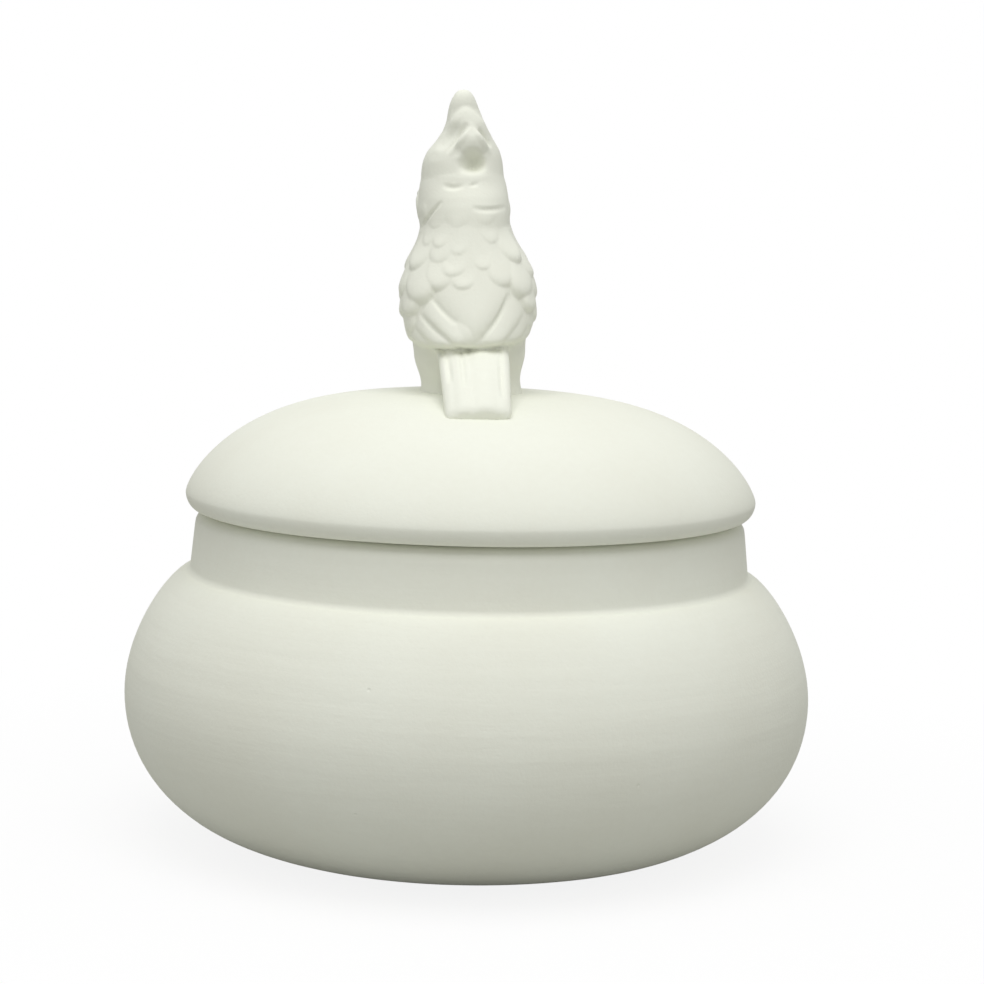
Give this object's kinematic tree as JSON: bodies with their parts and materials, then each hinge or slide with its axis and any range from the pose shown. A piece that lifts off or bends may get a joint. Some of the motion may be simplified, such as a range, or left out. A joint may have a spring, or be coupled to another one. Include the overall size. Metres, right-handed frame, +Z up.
{
  "type": "trinket box",
  "caption": "Round-bellied bisque ceramic trinket box with a short neck, a domed lift-off lid and a perched cockatoo on the lid as its knob.",
  "frame": {"origin": "on the table, under the middle of the bowl's foot ring", "axes": "+Z up through the lid, +Y the way the cockatoo faces, +X to the cockatoo's right"},
  "size_m": [0.11, 0.11, 0.1197],
  "materials": {
    "bisque_bowl": "unglazed matt bisque, sponged smooth",
    "bisque_lid": "unglazed matt bisque, sponged smooth",
    "bisque_bird": "unglazed matt bisque with soft, slip-filled feather relief"
  },
  "bodies": {
    "bowl": {"bowl": "bisque_bowl"},
    "lid": {"lid": "bisque_lid", "bird_body": "bisque_bird", "bird_head": "bisque_bird", "bird_crest": "bisque_bird", "bird_wing_left": "bisque_bird", "bird_wing_right": "bisque_bird", "bird_tail": "bisque_bird", "bird_foot_left": "bisque_bird", "bird_foot_right": "bisque_bird"}
  },
  "joints": [
    {"name": "lid_lift", "type": "slide", "parent": "bowl", "child": "lid", "axis": [0, 0, 1], "range_m": [0, 0.08]}
  ]
}
